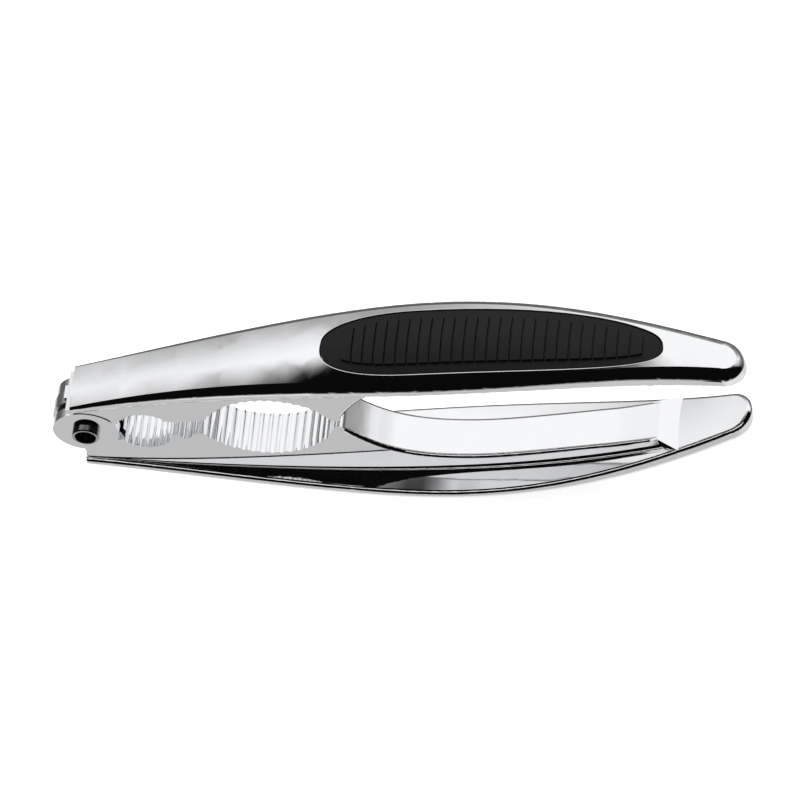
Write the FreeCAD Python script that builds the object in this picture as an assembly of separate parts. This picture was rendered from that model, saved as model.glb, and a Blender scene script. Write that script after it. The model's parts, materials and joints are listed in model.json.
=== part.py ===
import FreeCAD, Part
import math
import os

# Two-size lever nutcracker. Millimetres.
# Each lever is modelled in a frame of its own: the hinge axis is Y through the origin, +X runs to the
# grip end and +Z points outwards, away from the other lever. The levers are then turned to the resting
# position, the lower one mirrored, and the tool is set down on its lower back: it touches the ground
# with the metal in front of the lower grip and with that grip's first rib.

# ---- driving dimensions -------------------------------------------------------------------------
UPPER_TILT = 10.5           # degrees from level, grip end up, with the tool resting on its lower back
LOWER_TILT = 4.5
LOWER_SHIFT = 2.9           # the lower back lies this much further from the hinge than the upper one

UPPER_START = -0.3          # where each back is cut off straight beside the hinge
LOWER_START = -2.6
EDGE = [(35, 8.8), (66, 11.5), (96, 13.1), (127, 11.4), (150, 8.2)]      # x, half width
START_WIDTH = 6.6           # half width at the straight end
UPPER_TIP = 166.5           # centre of the round end
LOWER_TIP = 164.3
TIP_RADIUS = 5.9
TIP_BLEND = 9.7             # degrees: slope of the outline where it meets the round end
CROWN = [(-6, 11.6), (35, 19.3), (76, 23.0), (117, 20.8), (157, 10.2), (180, -1.4)]  # x, z on the centre line
LEDGE = [(-6, 8.5), (35, 14.1), (76, 16.5), (117, 13.9), (157, 3.7), (180, -6.4)]    # x, z of the inner side
CROWN_RADIUS = 40.0         # roundness of the back from side to side, outside and inside
LEDGE_RADIUS = -100.0       # negative: the inner side falls away towards the rim
RIM_ROUND = 1.0
RIM_REACH = 1.5             # an edge of the back that is nearer than this to the inner side is a rim edge
SHOULDER_START = 0.8        # rounding of the back's outer edges at the hinge, growing to SHOULDER
SHOULDER = 2.8

WEB = 11.5                  # thickness of the jaws and of the web behind them
NEAR_EAR = 2.5
WASHER = 1.3
KNUCKLE = 3.7
SIDE_PLAY = 0.15            # play in all beside the washer, and beside the knuckle's far face
EAR_RADIUS = 8.5
KNUCKLE_RADIUS = 8.9
NECK = [(-3, 7.0), (-3, 10.4), (9.5, 11.5), (9.5, 3.4), (8.4, 3.0)]      # joins the knuckle to the upper back
EAR_CLEARANCE = 9.1         # the upper web keeps outside this radius beside the ears
SLOT_RADIUS = 9.4           # room round the knuckle inside the lower web

PIN_RADIUS = 3.0
PIN_END_RADIUS = 3.5        # flared, hollow end on the near side
PIN_END = 1.8
PIN_HEAD_RADIUS = 4.2
PIN_HEAD = 1.0
PIN_HEAD_ROUND = 0.5
PIN_MOUTH_ROUND = 0.35
PIN_HOLLOW_RADIUS = 2.65
PIN_HOLLOW_DEPTH = 6.0
PRESS_PLAY = 0.02
RUNNING_PLAY = 0.05
WASHER_RADIUS = 7.9
WASHER_PLAY = 0.1

SMALL_RADIUS = 7.1          # hazelnut opening
SMALL_UPPER = (15.4, -1.2)  # centre of its arc in each jaw
SMALL_LOWER = (15.2, 0.3)
SMALL_UPPER_ENDS = (9.4, 21.6)      # x where each arc begins and ends
SMALL_LOWER_ENDS = (9.2, 22.0)
LARGE_RADIUS = 19.0         # walnut opening
LARGE_UPPER = (47.2, -10.4)
LARGE_LOWER = (47.0, -8.1)
LARGE_UPPER_ENDS = (32.6, 64.3)
LARGE_LOWER_ENDS = (31.2, 64.3)
UPPER_RIDGE = (28.0, 1.3)           # top of the ridge between the two openings
LOWER_RIDGE = [(23.1, 1.8), (24.1, 2.7), (25.6, 3.8), (26.9, 2.7), (28.9, 1.4)]  # the same, with a nib
UPPER_LIP = (65.6, -3.35)           # top of the ridge that closes the walnut opening
LOWER_LIP = (65.5, -1.15)
FLUTE_RADIUS = 1.2
FLUTE_DEPTH = 0.45
LARGE_FLUTES = 15
SMALL_FLUTES = 7
LARGE_LEAN = 2.0            # degrees: turns the row of flutes towards the hinge
LARGE_PITCH = 7.4           # degrees from flute to flute, seen from the arc's centre
SMALL_PITCH = 16.0

RIDGE_END = (67.0, -2.4)    # where the ridge that closes the walnut opening runs into the scoop
SCOOP = [(73, 4.0), (81, 8.8), (93, 11.2), (114, 9.8), (133, 6.8), (146, 4.0)]  # inner side behind the jaws
SCOOP_SLOPES = (1.15, -0.23)        # its slope at the ridge and at the far end
SCOOP_END = (152.5, 6.6)
SCOOP_DEPTH = 3.0           # the scoop stays more than this below the inner side of the back
WEB_FILLET_START = 0.3      # hollow rounding between web and back, at the hinge and along the grip
WEB_FILLET = 0.8
SHORT_EDGE = 20.0           # shorter corners between web and back are left sharp
SCOOP_ROUND = 0.9           # rounding of the scoop's long edges
WEB_START = -2.0            # the webs begin here, inside the ears
UPPER_CORNER = (8.6, 3.0)   # hinge end of the upper web: x of its corner at the opening, z beside the ears
LOWER_CORNER = [(-2, 7.0), (6.0, 4.0)]
INSIDE = [(140, 11.5), (117, 17), (76, 19.4), (35, 16.4), (-2, 10.8)]    # well inside the back, tip to hinge
FOOT = [(144, WEB / 2), (146, WEB / 2), (150.5, 7.6), (152.6, 7.3)]      # x, half width of the web's wide end
FOOT_INSIDE = [(152.5, 9.0), (144, 11.0), (144, 4.6)]

GRIP_WIDEST = 95.0          # soft inlay in each back: where it is widest, and how far it reaches each way
GRIP_TIP = 59.0
GRIP_HEEL = 26.5
GRIP_WIDTH = 18.2
GRIP_FULLNESS = 2.45        # 2 is an ellipse, more is fuller
GRIP_POINTS = 28
GRIP_DEPTH = 2.4
GRIP_SEAM = 0.12
GRIP_SINK = 0.25            # the inlay's rim lies this much below the metal
SEAT_ROUND = 0.3            # rounding of the metal round the inlay
FIELD_INSET = 2.5           # from the inlay's outline to its raised ribbed field
FIELD_START, FIELD_END = 74.4, 149.4
FIELD_RAISE = 0.7
FIELD_ROOT = 0.5            # the field's body begins this far above the floor of the inlay's seat
RIBS = 26
RIB_GROOVE = 0.5
RIB_DEPTH = 0.6
FLAT_DEPTH = 0.12           # how much the lower grip's first rib is flattened where the tool rests

FAR = 60.0                  # beyond every solid
HALF_ARCH = 20.0            # half the width of the arched tools that shape the backs, beyond every back
SPLIT = EDGE[1]             # each long curve of the outline is in two edges, which meet here

# ---- positions across the hinge, from the near face to the far one --------------------------------
NEAR = -WEB / 2
NEAR_EAR_IN = NEAR + NEAR_EAR
KNUCKLE_NEAR = NEAR_EAR_IN + WASHER + SIDE_PLAY
KNUCKLE_FAR = KNUCKLE_NEAR + KNUCKLE
FAR_EAR_IN = KNUCKLE_FAR + SIDE_PLAY
FAR_SIDE = WEB / 2


def vec(x, y, z):
    return FreeCAD.Vector(x, y, z)


# ---- outlines in the XZ plane -------------------------------------------------------------------
def line(a, b):
    return Part.LineSegment(vec(a[0], 0, a[1]), vec(b[0], 0, b[1])).toShape()


def arc(a, b, c):
    return Part.Arc(vec(a[0], 0, a[1]), vec(b[0], 0, b[1]), vec(c[0], 0, c[1])).toShape()


def path(points):
    """Straight edges from point to point."""
    return [line(a, b) for a, b in zip(points, points[1:])]


def smooth(points):
    curve = Part.BSplineCurve()
    curve.interpolate([vec(x, 0, z) for x, z in points])
    return curve


def height(points, x):
    """Height at x of the smooth curve through the points."""
    curve = smooth(points)
    low, high = curve.FirstParameter, curve.LastParameter
    for _ in range(40):
        middle = (low + high) / 2
        if curve.value(middle).x < x:
            low = middle
        else:
            high = middle
    return curve.value(low).z


def on_circle(centre, radius, x):
    """The point at x on the upper half of a circle."""
    return (x, centre[1] + math.sqrt(radius ** 2 - (x - centre[0]) ** 2))


def circle_arc(centre, radius, x0, x1):
    top = (centre[0], centre[1] + radius)
    return arc(on_circle(centre, radius, x0), top, on_circle(centre, radius, x1))


def lifted(points, shift):
    return [(x, z + shift) for x, z in points]


def prism(edges, y0, y1):
    """A closed XZ outline made solid from y0 to y1."""
    face = Part.Face(Part.Wire(Part.sortEdges(edges)[0]))
    face.translate(vec(0, y0, 0))
    return face.extrude(vec(0, y1 - y0, 0))


def block(points, y0, y1):
    return prism(path(points + points[:1]), y0, y1)


def rod(radius, y0, y1, x=0, z=0):
    return Part.makeCylinder(radius, y1 - y0, vec(x, y0, z), vec(0, 1, 0))


def plan(edges):
    """A closed XY outline made solid through the whole height."""
    face = Part.Face(Part.Wire(Part.sortEdges(edges)[0]))
    face.translate(vec(0, 0, -FAR))
    return face.extrude(vec(0, 0, 2 * FAR))


def rounded(shape, radii):
    """Fillet edges, each with its own radius at its start and end; radii is [(edge number, r0, r1)]."""
    document = FreeCAD.newDocument()
    base = document.addObject("Part::Feature", "base")
    base.Shape = shape
    fillet = document.addObject("Part::Fillet", "fillet")
    fillet.Base = base
    fillet.Edges = radii
    document.recompute()
    result = fillet.Shape.copy()
    FreeCAD.closeDocument(document.Name)
    return result.Solids[0]


# ---- the wide back of a lever -------------------------------------------------------------------
def back_outline(start, tip):
    """Plan outline: straight hinge end, two long curves, round tip. Each curve is in two edges."""
    angle = math.radians(TIP_BLEND)
    joint = (tip + TIP_RADIUS * math.sin(angle), TIP_RADIUS * math.cos(angle))
    edges = []
    for side in (1, -1):
        curve = Part.BSplineCurve()
        curve.interpolate([vec(x, side * y, 0) for x, y in [(start, START_WIDTH)] + EDGE + [joint]])
        middle = curve.parameter(vec(SPLIT[0], side * SPLIT[1], 0))
        edges.append(curve.toShape(curve.FirstParameter, middle))
        edges.append(curve.toShape(middle, curve.LastParameter))
    end = vec(tip + TIP_RADIUS, 0, 0)
    edges.append(Part.Arc(vec(joint[0], joint[1], 0), end, vec(joint[0], -joint[1], 0)).toShape())
    edges.append(Part.LineSegment(vec(start, -START_WIDTH, 0), vec(start, START_WIDTH, 0)).toShape())
    return edges


def sag(radius, y):
    """How far a round surface has dropped at y from its middle; with a negative radius it rises."""
    return radius - math.copysign(math.sqrt(radius ** 2 - y ** 2), radius)


def under_arch(points, radius):
    """Everything below a surface that follows the points lengthwise and is round from side to side."""
    drop = sag(radius, HALF_ARCH)
    sections = []
    for x, z in points:
        left, right = vec(x, -HALF_ARCH, z - drop), vec(x, HALF_ARCH, z - drop)
        low_left, low_right = vec(x, -HALF_ARCH, -FAR), vec(x, HALF_ARCH, -FAR)
        sections.append(Part.Wire([
            Part.Arc(left, vec(x, 0, z), right).toShape(),
            Part.LineSegment(right, low_right).toShape(),
            Part.LineSegment(low_right, low_left).toShape(),
            Part.LineSegment(low_left, left).toShape(),
        ]))
    return Part.makeLoft(sections, True, False)


def under_crown(rise):
    """Everything below the crowned surface of the back, raised by rise."""
    return under_arch(lifted(CROWN, rise), CROWN_RADIUS)


def back(start, tip):
    """The wide back with its inlay's seat: shoulders and rim rounded, hinge end cut straight."""
    body = plan(back_outline(start, tip)).common(under_crown(0))
    body = body.cut(under_arch(LEDGE, LEDGE_RADIUS)).Solids[0]
    split = SPLIT[0]
    radii = []
    for number, edge in enumerate(body.Edges, 1):
        first, last = edge.valueAt(edge.FirstParameter), edge.valueAt(edge.LastParameter)
        middle = edge.valueAt((edge.FirstParameter + edge.LastParameter) / 2)
        upright = abs(first.x - last.x) < 0.01 and abs(first.y - last.y) < 0.01
        if upright or edge.BoundBox.XLength < 1:
            continue
        if middle.z < height(LEDGE, middle.x) - sag(LEDGE_RADIUS, middle.y) + RIM_REACH:
            radii.append((number, RIM_ROUND, RIM_ROUND))
        elif middle.x > split:
            radii.append((number, SHOULDER, SHOULDER))
        elif first.x < last.x:
            radii.append((number, SHOULDER_START, SHOULDER))
        else:
            radii.append((number, SHOULDER, SHOULDER_START))
    body = rounded(body, radii).cut(pocket()).Solids[0]
    closed = [number for number, edge in enumerate(body.Edges, 1) if edge.isClosed()]
    mouth = max(closed, key=lambda number: body.Edges[number - 1].BoundBox.ZMax)
    return rounded(body, [(mouth, SEAT_ROUND, SEAT_ROUND)])


# ---- the jaws -----------------------------------------------------------------------------------
def scoop(shift):
    """From the outer ridge along the hollow inner side to the tip, as edges."""
    start_slope, end_slope = SCOOP_SLOPES
    curve = Part.BSplineCurve()
    curve.interpolate(Points=[vec(x, 0, z) for x, z in lifted([RIDGE_END] + SCOOP, shift)],
                      InitialTangent=vec(1, 0, start_slope), FinalTangent=vec(1, 0, end_slope))
    end = lifted([SCOOP[-1], SCOOP_END], shift)
    return [curve.toShape(), line(*end)]


def soft_scoop(web, shift):
    """Round the long edges of the scoop on both sides of a web."""
    radii = []
    for number, edge in enumerate(web.Edges, 1):
        middle = edge.valueAt((edge.FirstParameter + edge.LastParameter) / 2)
        on_side = edge.BoundBox.YLength < 0.01
        behind_jaws = RIDGE_END[0] < middle.x < SCOOP_END[0]
        in_scoop = middle.z - shift < height(LEDGE, middle.x) - SCOOP_DEPTH
        if on_side and behind_jaws and in_scoop:
            radii.append((number, SCOOP_ROUND, SCOOP_ROUND))
    return rounded(web, radii)


def inside_back(shift):
    """Points well inside the back, from the tip to the hinge end, that close a web's outline."""
    return lifted([SCOOP_END] + INSIDE, shift)


def upper_web():
    small_start, small_end = SMALL_UPPER_ENDS
    large_start, large_end = LARGE_UPPER_ENDS
    corner_x, beside_ears = UPPER_CORNER
    start = on_circle(SMALL_UPPER, SMALL_RADIUS, small_start)
    edges = [
        circle_arc(SMALL_UPPER, SMALL_RADIUS, small_start, small_end),
        arc(on_circle(SMALL_UPPER, SMALL_RADIUS, small_end), UPPER_RIDGE,
            on_circle(LARGE_UPPER, LARGE_RADIUS, large_start)),
        circle_arc(LARGE_UPPER, LARGE_RADIUS, large_start, large_end),
        arc(on_circle(LARGE_UPPER, LARGE_RADIUS, large_end), UPPER_LIP, RIDGE_END),
    ]
    edges += scoop(0)
    edges += path(inside_back(0) + [(WEB_START, beside_ears), (corner_x, start[1]), start])
    body = soft_scoop(prism(edges, NEAR, FAR_SIDE), 0)
    return body.cut(rod(EAR_CLEARANCE, -FAR, FAR))


def lower_web():
    small_start, small_end = SMALL_LOWER_ENDS
    large_start, large_end = LARGE_LOWER_ENDS
    shift = LOWER_SHIFT
    rise, nib_start, nib_top, nib_end, fall = LOWER_RIDGE
    edges = [
        circle_arc(SMALL_LOWER, SMALL_RADIUS, small_start, small_end),
        arc(on_circle(SMALL_LOWER, SMALL_RADIUS, small_end), rise, nib_start),
        arc(nib_start, nib_top, nib_end),
        arc(nib_end, fall, on_circle(LARGE_LOWER, LARGE_RADIUS, large_start)),
        circle_arc(LARGE_LOWER, LARGE_RADIUS, large_start, large_end),
        arc(on_circle(LARGE_LOWER, LARGE_RADIUS, large_end), LOWER_LIP, lifted([RIDGE_END], shift)[0]),
    ]
    edges += scoop(shift)
    edges += path(inside_back(shift) + LOWER_CORNER + [on_circle(SMALL_LOWER, SMALL_RADIUS, small_start)])
    return soft_scoop(prism(edges, NEAR, FAR_SIDE), shift)


def flutes(centre, radius, count, pitch, lean):
    """Grooves across a jaw's arc, parallel to the hinge; lean turns the row, in degrees."""
    reach = radius + FLUTE_DEPTH - FLUTE_RADIUS
    tools = []
    for number in range(count):
        angle = math.radians(90 + lean + (number - (count - 1) / 2) * pitch)
        x, z = centre[0] + reach * math.cos(angle), centre[1] + reach * math.sin(angle)
        tools.append(rod(FLUTE_RADIUS, -FAR, FAR, x, z))
    return Part.makeCompound(tools)


def fluted(body, small, large):
    body = body.cut(flutes(small, SMALL_RADIUS, SMALL_FLUTES, SMALL_PITCH, 0))
    return body.cut(flutes(large, LARGE_RADIUS, LARGE_FLUTES, LARGE_PITCH, LARGE_LEAN))


def foot(shift):
    """The web widens to the full width of the tip behind the scoop."""
    side = lifted([SCOOP[-1], SCOOP_END] + FOOT_INSIDE, shift)
    corners = [vec(x, y, 0) for x, y in FOOT] + [vec(x, -y, 0) for x, y in reversed(FOOT)]
    wedge = plan(Part.makePolygon(corners + corners[:1]).Edges)
    return block(side, -HALF_ARCH, HALF_ARCH).common(wedge)


def web_fillets(body, shift):
    """Round the hollow corner between the back's inner side and the web."""
    radii = []
    for number, edge in enumerate(body.Edges, 1):
        first, last = edge.valueAt(edge.FirstParameter), edge.valueAt(edge.LastParameter)
        middle = edge.valueAt((edge.FirstParameter + edge.LastParameter) / 2)
        on_side = abs(abs(middle.y) - WEB / 2) < 0.01 and abs(abs(first.y) - WEB / 2) < 0.01
        ledge = height(LEDGE, middle.x) - sag(LEDGE_RADIUS, WEB / 2) + shift
        on_ledge = abs(middle.z - ledge) < 0.05
        if not on_side or not on_ledge or edge.BoundBox.XLength < SHORT_EDGE:
            continue
        if first.x < last.x:
            radii.append((number, WEB_FILLET_START, WEB_FILLET))
        else:
            radii.append((number, WEB_FILLET, WEB_FILLET_START))
    return rounded(body, radii)


# ---- the soft inlay -----------------------------------------------------------------------------
def grip_plan(inset):
    """Lens-shaped plan outline of the inlay, moved inwards by inset, through the whole height."""
    power = 2 / GRIP_FULLNESS
    points = []
    for number in range(GRIP_POINTS):
        angle = 2 * math.pi * number / GRIP_POINTS
        cosine, sine = math.cos(angle), math.sin(angle)
        length = (GRIP_TIP if cosine > 0 else GRIP_HEEL) - inset
        x = GRIP_WIDEST + math.copysign(length * abs(cosine) ** power, cosine)
        y = math.copysign((GRIP_WIDTH / 2 - inset) * abs(sine) ** power, sine)
        points.append(vec(x, y, 0))
    curve = Part.BSplineCurve()
    curve.interpolate(points, True)
    return plan([curve.toShape()])


def pocket():
    return grip_plan(0).cut(under_crown(-GRIP_DEPTH))


def ribbed_field():
    """The raised middle of the inlay, with a groove between each two ribs."""
    length = FIELD_END - FIELD_START
    middle = Part.makeBox(length, 2 * HALF_ARCH, 2 * FAR, vec(FIELD_START, -HALF_ARCH, -FAR))
    body = grip_plan(FIELD_INSET).common(middle).common(under_crown(FIELD_RAISE - GRIP_SINK))
    body = body.cut(under_crown(FIELD_ROOT - GRIP_DEPTH))
    pitch = length / RIBS
    grooves = []
    for number in range(1, RIBS):
        x = FIELD_START + number * pitch - RIB_GROOVE / 2
        grooves.append(Part.makeBox(RIB_GROOVE, 2 * HALF_ARCH, 2 * FAR, vec(x, -HALF_ARCH, -FAR)))
    grooves = Part.makeCompound(grooves).cut(under_crown(FIELD_RAISE - GRIP_SINK - RIB_DEPTH))
    return body.cut(grooves)


def grip():
    rim = grip_plan(GRIP_SEAM).common(under_crown(-GRIP_SINK)).cut(under_crown(-GRIP_DEPTH))
    return rim.fuse(ribbed_field()).removeSplitter().Solids[0]


# ---- whole parts, in their lever's own frame -----------------------------------------------------
def upper_lever():
    neck = block(NECK, KNUCKLE_NEAR, KNUCKLE_FAR)
    knuckle = rod(KNUCKLE_RADIUS, KNUCKLE_NEAR, KNUCKLE_FAR)
    body = back(UPPER_START, UPPER_TIP).fuse([upper_web(), foot(0)]).removeSplitter().Solids[0]
    body = web_fillets(body, 0)
    body = fluted(body, SMALL_UPPER, LARGE_UPPER)
    body = body.fuse([neck, knuckle]).cut(rod(PIN_RADIUS + RUNNING_PLAY, -FAR, FAR))
    return body.removeSplitter()


def lower_lever():
    ears = rod(EAR_RADIUS, NEAR, FAR_SIDE)
    shell = back(LOWER_START, LOWER_TIP)
    shell.translate(vec(0, 0, LOWER_SHIFT))
    body = shell.fuse([lower_web(), foot(LOWER_SHIFT)]).removeSplitter().Solids[0]
    body = web_fillets(body, LOWER_SHIFT)
    body = fluted(body, SMALL_LOWER, LARGE_LOWER)
    body = body.fuse(ears).cut(rod(SLOT_RADIUS, NEAR_EAR_IN, FAR_EAR_IN))
    return body.cut(rod(PIN_RADIUS + PRESS_PLAY, -FAR, FAR)).removeSplitter()


def hinge_pin():
    """Rivet: solid head on the far side, hollow flared end on the near side."""
    body = rod(PIN_RADIUS, NEAR, FAR_SIDE)
    end = rod(PIN_END_RADIUS, NEAR - PIN_END, NEAR)
    head = rod(PIN_HEAD_RADIUS, FAR_SIDE, FAR_SIDE + PIN_HEAD)
    outer = [e for e in head.Edges if e.BoundBox.YMin > FAR_SIDE + PIN_HEAD / 2]
    head = head.makeFillet(PIN_HEAD_ROUND, outer)
    hollow = rod(PIN_HOLLOW_RADIUS, NEAR - PIN_END, NEAR - PIN_END + PIN_HOLLOW_DEPTH)
    body = body.fuse([end, head]).cut(hollow).removeSplitter().Solids[0]
    mouth = [e for e in body.Edges if e.BoundBox.YMax < NEAR - PIN_END + 0.01 and e.BoundBox.XLength > 1]
    return body.makeFillet(PIN_MOUTH_ROUND, mouth)


def hinge_washer():
    near = NEAR_EAR_IN + SIDE_PLAY / 2
    return rod(WASHER_RADIUS, near, near + WASHER).cut(rod(PIN_RADIUS + WASHER_PLAY, -FAR, FAR))


# ---- resting position ---------------------------------------------------------------------------
def as_upper(shape):
    shape.rotate(vec(0, 0, 0), vec(0, -1, 0), UPPER_TILT)
    return shape


def as_lower(shape):
    shape = shape.mirror(vec(0, 0, 0), vec(0, 0, 1))
    shape.rotate(vec(0, 0, 0), vec(0, -1, 0), LOWER_TILT)
    return shape


def assemble():
    lower_grip = grip()
    lower_grip.translate(vec(0, 0, LOWER_SHIFT))
    parts = {
        "upper_lever": as_upper(upper_lever()),
        "upper_grip": as_upper(grip()),
        "lower_lever": as_lower(lower_lever()),
        "lower_grip": as_lower(lower_grip),
        "hinge_pin": hinge_pin(),
        "hinge_washer": hinge_washer(),
    }
    seat = parts["lower_grip"].optimalBoundingBox(False, False).ZMin + FLAT_DEPTH
    slab = Part.makeBox(400, 80, FAR, vec(-100, -40, seat - FAR))
    parts["lower_grip"] = parts["lower_grip"].cut(slab)
    box = Part.makeCompound(list(parts.values())).optimalBoundingBox(False, False)
    move = vec(-(box.XMin + box.XMax) / 2, -(box.YMin + box.YMax) / 2, -seat)
    for shape in parts.values():
        shape.translate(move)
    print("hinge axis at", [round(v, 3) for v in move])
    return parts


def main():
    os.makedirs("parts", exist_ok=True)
    for name, shape in assemble().items():
        solid = shape.Solids[0]
        print(name, len(shape.Solids), solid.isValid(), round(solid.Volume, 1), len(solid.Faces))
        solid.exportStep(f"parts/{name}.step")


main()
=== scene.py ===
"""Looks for a lever nutcracker with two jaws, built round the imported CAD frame. Lengths are in metres."""

import json
import math

import bpy
from mathutils import Matrix, Vector


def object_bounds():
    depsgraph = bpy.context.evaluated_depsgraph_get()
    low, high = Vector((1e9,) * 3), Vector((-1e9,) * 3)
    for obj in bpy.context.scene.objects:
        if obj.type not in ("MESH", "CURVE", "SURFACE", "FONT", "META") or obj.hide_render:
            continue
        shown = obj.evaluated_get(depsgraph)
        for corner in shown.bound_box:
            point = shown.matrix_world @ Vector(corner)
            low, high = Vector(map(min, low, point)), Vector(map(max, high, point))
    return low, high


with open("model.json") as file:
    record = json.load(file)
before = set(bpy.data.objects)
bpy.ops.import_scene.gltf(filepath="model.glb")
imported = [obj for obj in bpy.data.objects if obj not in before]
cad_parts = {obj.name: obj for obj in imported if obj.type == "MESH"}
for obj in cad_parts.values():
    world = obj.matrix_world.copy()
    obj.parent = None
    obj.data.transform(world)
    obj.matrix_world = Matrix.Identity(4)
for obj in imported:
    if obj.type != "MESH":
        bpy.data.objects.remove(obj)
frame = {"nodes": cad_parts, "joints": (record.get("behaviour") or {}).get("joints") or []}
CAD_LOW, CAD_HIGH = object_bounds()
CENTRE = (CAD_LOW + CAD_HIGH) / 2
HINGE = Vector(frame["joints"][0]["pos_m"])

# Camera: where it stands round the object, in degrees, how far off, and what it looks at
VIEW_AZIMUTH = 14.8
VIEW_ELEVATION = 58.0
VIEW_ROLL = -10.97
VIEW_DISTANCE = 1.8286
AIM_FROM_HINGE = Vector((0.08106, -0.00022, 0.01092))
LENS = 327.2

# Studio. Each sky is [(degrees above the horizon, brightness)]: on the camera's side, behind the object,
# and at both ends of it.
FLOOR_SIZE = 6.0
FLOOR_COLOUR = (0.9, 0.9, 0.9)
FLOOR_GLOW = 1.0
BACKGROUND = (1.0, 1.0, 1.0)
SKY_STRENGTH = 1.16
NEAR_SKY = [
    (-90, 0.9), (-66, 0.85), (-60.5, 0.54), (-56, 0.54), (-51, 0.85), (-40, 0.75), (-30, 0.25), (-24, 0.003),
]
FAR_SKY = [
    (-60, 0.85), (-30, 0.4), (-17, 0.14), (0, 0.1), (12, 0.2), (24, 0.4), (31, 0.7), (36, 0.86), (43, 1.0),
]
SIDE_SKY = [(-90, 0.3), (-45, 0.1), (-8, 0.12), (10, 0.35), (20, 0.85), (40, 1.0)]
WALL_EDGE = (0.17, 0.45)    # how far a direction points away from the camera's side: all near, all far
SIDE_WALL = (0.6, 0.74)     # how far it points sideways, from none to all of the side wall
LIGHT_SIZE = 1.6
LIGHT_HEIGHT = 1.5
LIGHT_POWER = 12.0
# The strip light's SHIFT is along X; its ELEVATION is above the horizon on the camera's side.
STRIP_LENGTH = 1.6
STRIP_WIDTH = 0.4
STRIP_DISTANCE = 1.2
STRIP_ELEVATION = 48.0
STRIP_SHIFT = -0.35
STRIP_POWER = 2.0

# Materials. Scales are in cells per metre, bump heights in metres.
CHROME = (0.80, 0.805, 0.815)
CHROME_HAZED = (0.785, 0.79, 0.802)
CHROME_ROUGH = (0.035, 0.055)       # clean, hazed
HAZE_SCALE = 160.0
HAZE_EDGE = (0.42, 0.7)
HAIR_SCALE = (60.0, 2600.0, 2600.0)     # polishing hairlines run along the levers
HAIR_EDGE = (0.6, 0.78)
HAIR_ROUGH = 0.03
HAIR_HEIGHT = 0.0000015
HAIR_STRENGTH = 0.25
WAVE_SCALE = 30.0
WAVE_HEIGHT = 0.000012
WAVE_STRENGTH = 0.05
RUBBER = ((0.005, 0.005, 0.0055), (0.011, 0.011, 0.012))    # clean, bloomed
RUBBER_ROUGH = (0.46, 0.58)
RUBBER_SPECULAR = 0.3
BLOOM_SCALE = 60.0
GRAIN_SCALE = 5200.0
GRAIN_HEIGHT = 0.00003
GRAIN_STRENGTH = 0.5
STEEL = ((0.30, 0.30, 0.31), (0.46, 0.46, 0.47))            # worn, bright
STEEL_ROUGH = (0.2, 0.34)
STEEL_WEAR_SCALE = 900.0
ACROSS_HINGE = (1.0, 0.0, 1.0)      # leaves out the distance along the hinge axis
RING_PITCH = 0.00025                # of the turning rings on the rivet, in metres
RING_HEIGHT = 0.000004
RING_STRENGTH = 0.6
WASHER = (0.02, 0.035)
WASHER_ROUGH = (0.38, 0.5)
WASHER_SCALE = 700.0
FLOOR_ROUGH = (0.75, 0.85)
FLOOR_SCALE = 30.0
MIDDLE = (0.3, 0.7)                 # the part of a noise's range that most of it falls in

# Sockets of a Mix node that mixes colours
MIX_FIRST = 6
MIX_SECOND = 7
MIX_RESULT = 2


def rgba(colour):
    """A colour with full opacity; one number is a grey."""
    if isinstance(colour, (int, float)):
        colour = (colour, colour, colour)
    return (*colour, 1.0)


class Nodes:
    """A short way to add and join the nodes of one tree."""

    def __init__(self, tree):
        self.tree = tree
        self.tree.nodes.clear()

    def add(self, kind, inputs=None, **settings):
        """A node with its settings made and its inputs set to values or joined to sockets."""
        node = self.tree.nodes.new("ShaderNode" + kind)
        for name, value in settings.items():
            setattr(node, name, value)
        for name, value in (inputs or {}).items():
            self.feed(node.inputs[name], value)
        return node

    def feed(self, socket, value):
        """Joins a socket to another one, or gives it a value."""
        if isinstance(value, bpy.types.NodeSocket):
            self.tree.links.new(value, socket)
        else:
            socket.default_value = value

    def math(self, operation, a, b=0.0):
        """The result of one sum."""
        return self.add("Math", {0: a, 1: b}, operation=operation).outputs[0]

    def ramp(self, factor, stops):
        """A colour ramp over (place, colour) stops."""
        node = self.add("ValToRGB", {"Fac": factor})
        ramp = node.color_ramp
        while len(ramp.elements) < len(stops):
            ramp.elements.new(1.0)
        for element, (place, colour) in zip(ramp.elements, stops):
            element.position = place
            element.color = rgba(colour)
        return node.outputs["Color"]

    def spread(self, value, low, high, to_low=0.0, to_high=1.0, curve="LINEAR"):
        """A value moved from one range to another, held inside it."""
        inputs = {"Value": value, "From Min": low, "From Max": high, "To Min": to_low, "To Max": to_high}
        return self.add("MapRange", inputs, interpolation_type=curve).outputs["Result"]

    def noise(self, vector, scale, detail=3.0):
        """Cloudy noise between 0 and 1."""
        inputs = {"Vector": vector, "Scale": scale, "Detail": detail}
        return self.add("TexNoise", inputs).outputs["Fac"]

    def stretched(self, vector, scale):
        """Coordinates scaled by a different amount along each axis."""
        return self.add("Mapping", {"Vector": vector, "Scale": scale}).outputs["Vector"]

    def mix(self, factor, a, b):
        """One colour turned towards another."""
        inputs = {"Factor": factor, MIX_FIRST: a, MIX_SECOND: b}
        return self.add("Mix", inputs, data_type="RGBA").outputs[MIX_RESULT]

    def bump(self, height, distance, strength=1.0, normal=None):
        """A bumped normal from a height."""
        node = self.add("Bump", {"Height": height, "Distance": distance, "Strength": strength})
        if normal is not None:
            self.feed(node.inputs["Normal"], normal)
        return node.outputs["Normal"]


def new_material(name):
    """An empty material, with the nodes and the place on the object in metres."""
    material = bpy.data.materials.new(name)
    material.use_nodes = True
    nodes = Nodes(material.node_tree)
    place = nodes.add("TexCoord").outputs["Object"]
    return material, nodes, place


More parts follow.
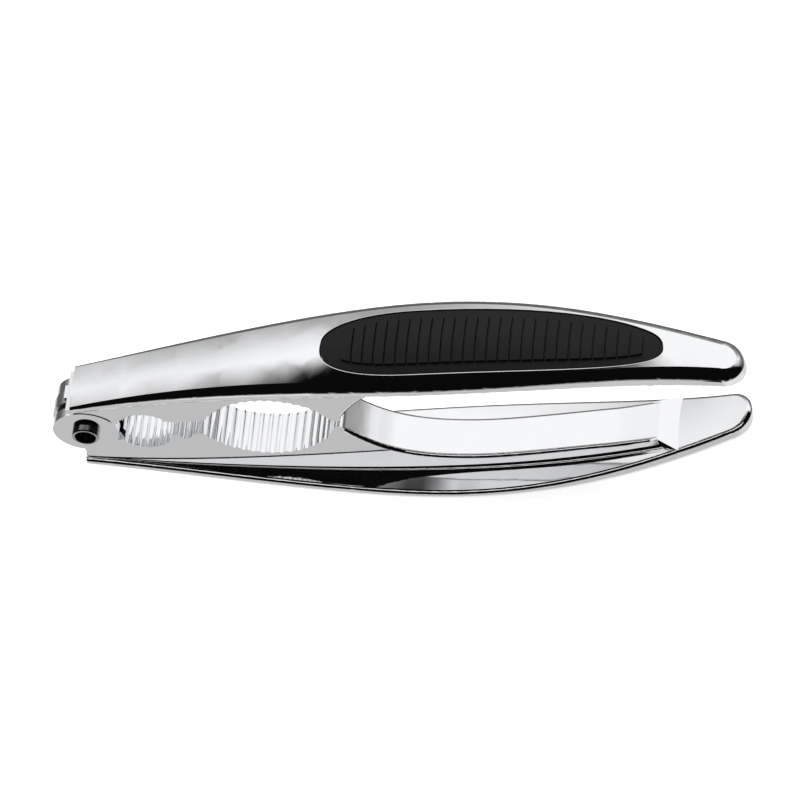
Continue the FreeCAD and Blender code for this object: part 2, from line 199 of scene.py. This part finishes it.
def finish_material(nodes, shader):
    """Joins the shader to the material's output."""
    nodes.add("OutputMaterial", {"Surface": shader.outputs[0]})


def polished_chrome():
    """Bright plated casting: near mirror, with faint waviness, polishing hairlines and handling haze."""
    material, nodes, place = new_material("polished_chrome")
    haze = nodes.spread(nodes.noise(place, HAZE_SCALE, detail=4.0), *HAZE_EDGE)
    hairs = nodes.noise(nodes.stretched(place, HAIR_SCALE), 1.0, detail=2.0)
    hair_rough = nodes.math("MULTIPLY", nodes.spread(hairs, *HAIR_EDGE), HAIR_ROUGH)
    rough = nodes.math("ADD", nodes.spread(haze, 0.0, 1.0, *CHROME_ROUGH), hair_rough)
    colour = nodes.mix(haze, rgba(CHROME), rgba(CHROME_HAZED))
    wave = nodes.bump(nodes.noise(place, WAVE_SCALE, detail=0.0), WAVE_HEIGHT, WAVE_STRENGTH)
    normal = nodes.bump(hairs, HAIR_HEIGHT, HAIR_STRENGTH, wave)
    inputs = {"Base Color": colour, "Roughness": rough, "Metallic": 1.0, "Normal": normal}
    finish_material(nodes, nodes.add("BsdfPrincipled", inputs))
    return material


def soft_rubber():
    """Black moulded rubber with a fine spark-eroded grain and a slight bloom."""
    material, nodes, place = new_material("soft_rubber")
    clean, bloomed = RUBBER
    bloom = nodes.noise(place, BLOOM_SCALE, detail=5.0)
    inputs = {
        "Base Color": nodes.mix(bloom, rgba(clean), rgba(bloomed)),
        "Roughness": nodes.spread(bloom, *MIDDLE, *RUBBER_ROUGH),
        "Normal": nodes.bump(nodes.noise(place, GRAIN_SCALE, detail=2.0), GRAIN_HEIGHT, GRAIN_STRENGTH),
        "Specular IOR Level": RUBBER_SPECULAR,
    }
    finish_material(nodes, nodes.add("BsdfPrincipled", inputs))
    return material


def turned_steel():
    """Steel rivet with fine turning rings round its axis and mottled wear."""
    material, nodes, place = new_material("turned_steel")
    worn, bright = STEEL
    wear = nodes.noise(place, STEEL_WEAR_SCALE, detail=4.0)
    from_axis = nodes.add("VectorMath", {0: place, 1: HINGE}, operation="SUBTRACT").outputs["Vector"]
    across = nodes.add("VectorMath", {0: from_axis, 1: ACROSS_HINGE}, operation="MULTIPLY").outputs["Vector"]
    radius = nodes.add("VectorMath", {0: across}, operation="LENGTH").outputs["Value"]
    rings = nodes.math("SINE", nodes.math("MULTIPLY", radius, 2.0 * math.pi / RING_PITCH))
    inputs = {
        "Base Color": nodes.mix(wear, rgba(worn), rgba(bright)),
        "Roughness": nodes.spread(wear, *MIDDLE, *STEEL_ROUGH),
        "Metallic": 1.0,
        "Normal": nodes.bump(rings, RING_HEIGHT, RING_STRENGTH),
    }
    finish_material(nodes, nodes.add("BsdfPrincipled", inputs))
    return material


def washer_plastic():
    """Dark moulded plastic spacer."""
    material, nodes, place = new_material("washer_plastic")
    dark, light = WASHER
    mottle = nodes.noise(place, WASHER_SCALE, detail=4.0)
    inputs = {
        "Base Color": nodes.mix(mottle, rgba(dark), rgba(light)),
        "Roughness": nodes.spread(mottle, *MIDDLE, *WASHER_ROUGH),
    }
    finish_material(nodes, nodes.add("BsdfPrincipled", inputs))
    return material


def dress(material, *names):
    """Gives a material to CAD nodes."""
    for name in names:
        for slot in frame["nodes"][name].material_slots:
            slot.material = material


def sky_ramp(nodes, height, stops):
    """Brightness against elevation; stops is (degrees above the horizon, brightness)."""
    places = [((math.sin(math.radians(degrees)) + 1) / 2, brightness) for degrees, brightness in stops]
    return nodes.ramp(height, places)


def studio_sky():
    """What the chrome mirrors: bright walls behind, a dark room on the camera's side and a pale table."""
    world = bpy.data.worlds.new("studio")
    world.use_nodes = True
    bpy.context.scene.world = world
    nodes = Nodes(world.node_tree)
    direction = nodes.add("SeparateXYZ", {0: nodes.add("TexCoord").outputs["Generated"]})
    height = nodes.spread(direction.outputs["Z"], -1.0, 1.0)
    near = sky_ramp(nodes, height, NEAR_SKY)
    back_wall = sky_ramp(nodes, height, FAR_SKY)
    sideways = nodes.math("ABSOLUTE", direction.outputs["X"])
    side_wall = sky_ramp(nodes, height, SIDE_SKY)
    far = nodes.mix(nodes.spread(sideways, *SIDE_WALL), back_wall, side_wall)
    away = nodes.spread(direction.outputs["Y"], *WALL_EDGE, curve="SMOOTHSTEP")
    sky = nodes.mix(away, near, far)
    seen = nodes.add("LightPath").outputs["Is Camera Ray"]
    colour = nodes.mix(seen, sky, rgba(BACKGROUND))
    strength = nodes.spread(seen, 0.0, 1.0, SKY_STRENGTH, 1.0)
    background = nodes.add("Background", {"Color": colour, "Strength": strength})
    nodes.add("OutputWorld", {"Surface": background.outputs[0]})


def overhead_light():
    """A broad soft light straight above, which nothing mirrors."""
    data = bpy.data.lights.new("overhead", "AREA")
    data.shape = "DISK"
    data.size = LIGHT_SIZE
    data.energy = LIGHT_POWER
    light = bpy.data.objects.new("overhead", data)
    light.location = CENTRE + Vector((0, 0, LIGHT_HEIGHT))
    light.visible_glossy = False
    bpy.context.scene.collection.objects.link(light)


def strip_light():
    """A long soft light along the tool, linked to the lower lever only: it brightens the side of its web."""
    data = bpy.data.lights.new("strip", "AREA")
    data.shape = "RECTANGLE"
    data.size = STRIP_LENGTH
    data.size_y = STRIP_WIDTH
    data.energy = STRIP_POWER
    light = bpy.data.objects.new("strip", data)
    elevation = math.radians(STRIP_ELEVATION)
    away = Vector((0, -math.cos(elevation), math.sin(elevation)))
    light.location = CENTRE + away * STRIP_DISTANCE + Vector((STRIP_SHIFT, 0, 0))
    light.rotation_mode = "QUATERNION"
    light.rotation_quaternion = away.to_track_quat("Z", "Y")
    bpy.context.scene.collection.objects.link(light)
    mirrored_by = bpy.data.collections.new("mirrored_by_strip")
    mirrored_by.objects.link(frame["nodes"]["lower_lever"])
    light.light_linking.receiver_collection = mirrored_by


def floor():
    """A plain pale floor under the object, which the chrome doesn't mirror."""
    material, nodes, place = new_material("floor_paint")
    inputs = {
        "Base Color": rgba(FLOOR_COLOUR),
        "Roughness": nodes.spread(nodes.noise(place, FLOOR_SCALE), *MIDDLE, *FLOOR_ROUGH),
        "Emission Color": rgba(FLOOR_COLOUR),
        "Emission Strength": FLOOR_GLOW,
    }
    finish_material(nodes, nodes.add("BsdfPrincipled", inputs))
    bpy.ops.mesh.primitive_plane_add(size=FLOOR_SIZE, location=(0, 0, CAD_LOW.z))
    plane = bpy.context.object
    plane.name = "studio_floor"
    plane.data.materials.append(material)
    plane.visible_glossy = False


def camera():
    """The camera, turned to the middle of the object and rolled about its own axis."""
    azimuth = math.radians(VIEW_AZIMUTH)
    elevation = math.radians(VIEW_ELEVATION)
    back = Vector((
        math.sin(azimuth) * math.cos(elevation),
        -math.cos(azimuth) * math.cos(elevation),
        math.sin(elevation),
    ))
    data = bpy.data.cameras.new("camera")
    data.lens = LENS
    camera_object = bpy.data.objects.new("camera", data)
    bpy.context.scene.collection.objects.link(camera_object)
    turn = (-back).to_track_quat("-Z", "Y").to_matrix().to_4x4()
    roll = Matrix.Rotation(math.radians(VIEW_ROLL), 4, "Z")
    place = Matrix.Translation(HINGE + AIM_FROM_HINGE + back * VIEW_DISTANCE)
    camera_object.matrix_world = place @ turn @ roll
    bpy.context.scene.camera = camera_object


dress(polished_chrome(), "upper_lever", "lower_lever")
dress(soft_rubber(), "upper_grip", "lower_grip")
dress(turned_steel(), "hinge_pin")
dress(washer_plastic(), "hinge_washer")
studio_sky()
overhead_light()
strip_light()
floor()
camera()
bpy.context.scene.view_settings.view_transform = "Standard"
